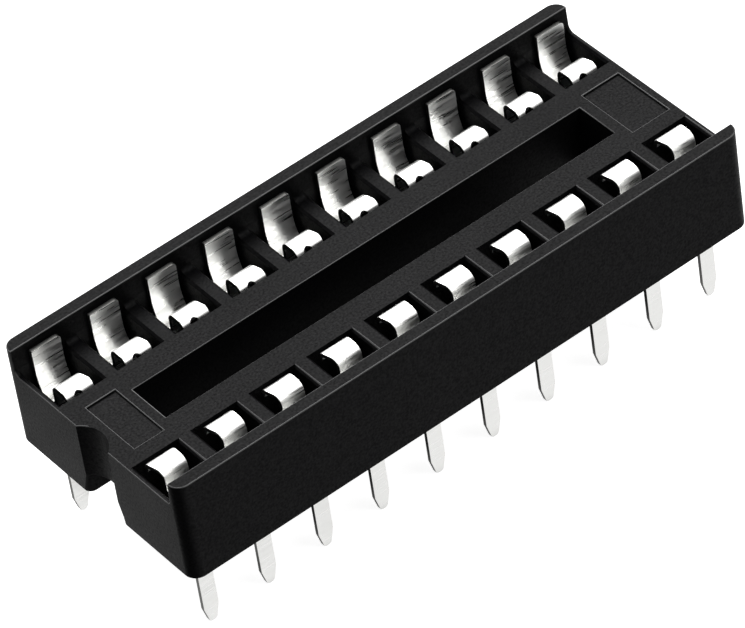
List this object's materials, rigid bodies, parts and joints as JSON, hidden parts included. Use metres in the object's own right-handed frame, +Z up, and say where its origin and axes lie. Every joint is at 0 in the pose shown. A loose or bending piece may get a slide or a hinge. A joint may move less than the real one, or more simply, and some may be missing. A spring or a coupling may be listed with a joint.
{
  "type": "ic socket",
  "caption": "Low-profile dual-in-line socket: black moulded housing with a middle slot and polarity notch, stamped dual-leaf contacts in two rows, and flat solder tails.",
  "frame": {"origin": "centre of the pin grid on the housing's underside, where it meets the top of a circuit board", "axes": "+X along the rows away from the notched end, +Y across the rows to the rear row, +Z up from the board"},
  "size_m": [0.0252, 0.0102, 0.008],
  "materials": {
    "black_moulding": "black glass-filled thermoplastic, semi-gloss",
    "tinned_contact": "bright tin plating on copper alloy sheet"
  },
  "bodies": {
    "root": {"housing": "black_moulding", "contact_01": "tinned_contact", "contact_02": "tinned_contact", "contact_03": "tinned_contact", "contact_04": "tinned_contact", "contact_05": "tinned_contact", "contact_06": "tinned_contact", "contact_07": "tinned_contact", "contact_08": "tinned_contact", "contact_09": "tinned_contact", "contact_10": "tinned_contact", "contact_11": "tinned_contact", "contact_12": "tinned_contact", "contact_13": "tinned_contact", "contact_14": "tinned_contact", "contact_15": "tinned_contact", "contact_16": "tinned_contact", "contact_17": "tinned_contact", "contact_18": "tinned_contact", "contact_19": "tinned_contact", "contact_20": "tinned_contact"}
  },
  "joints": []
}
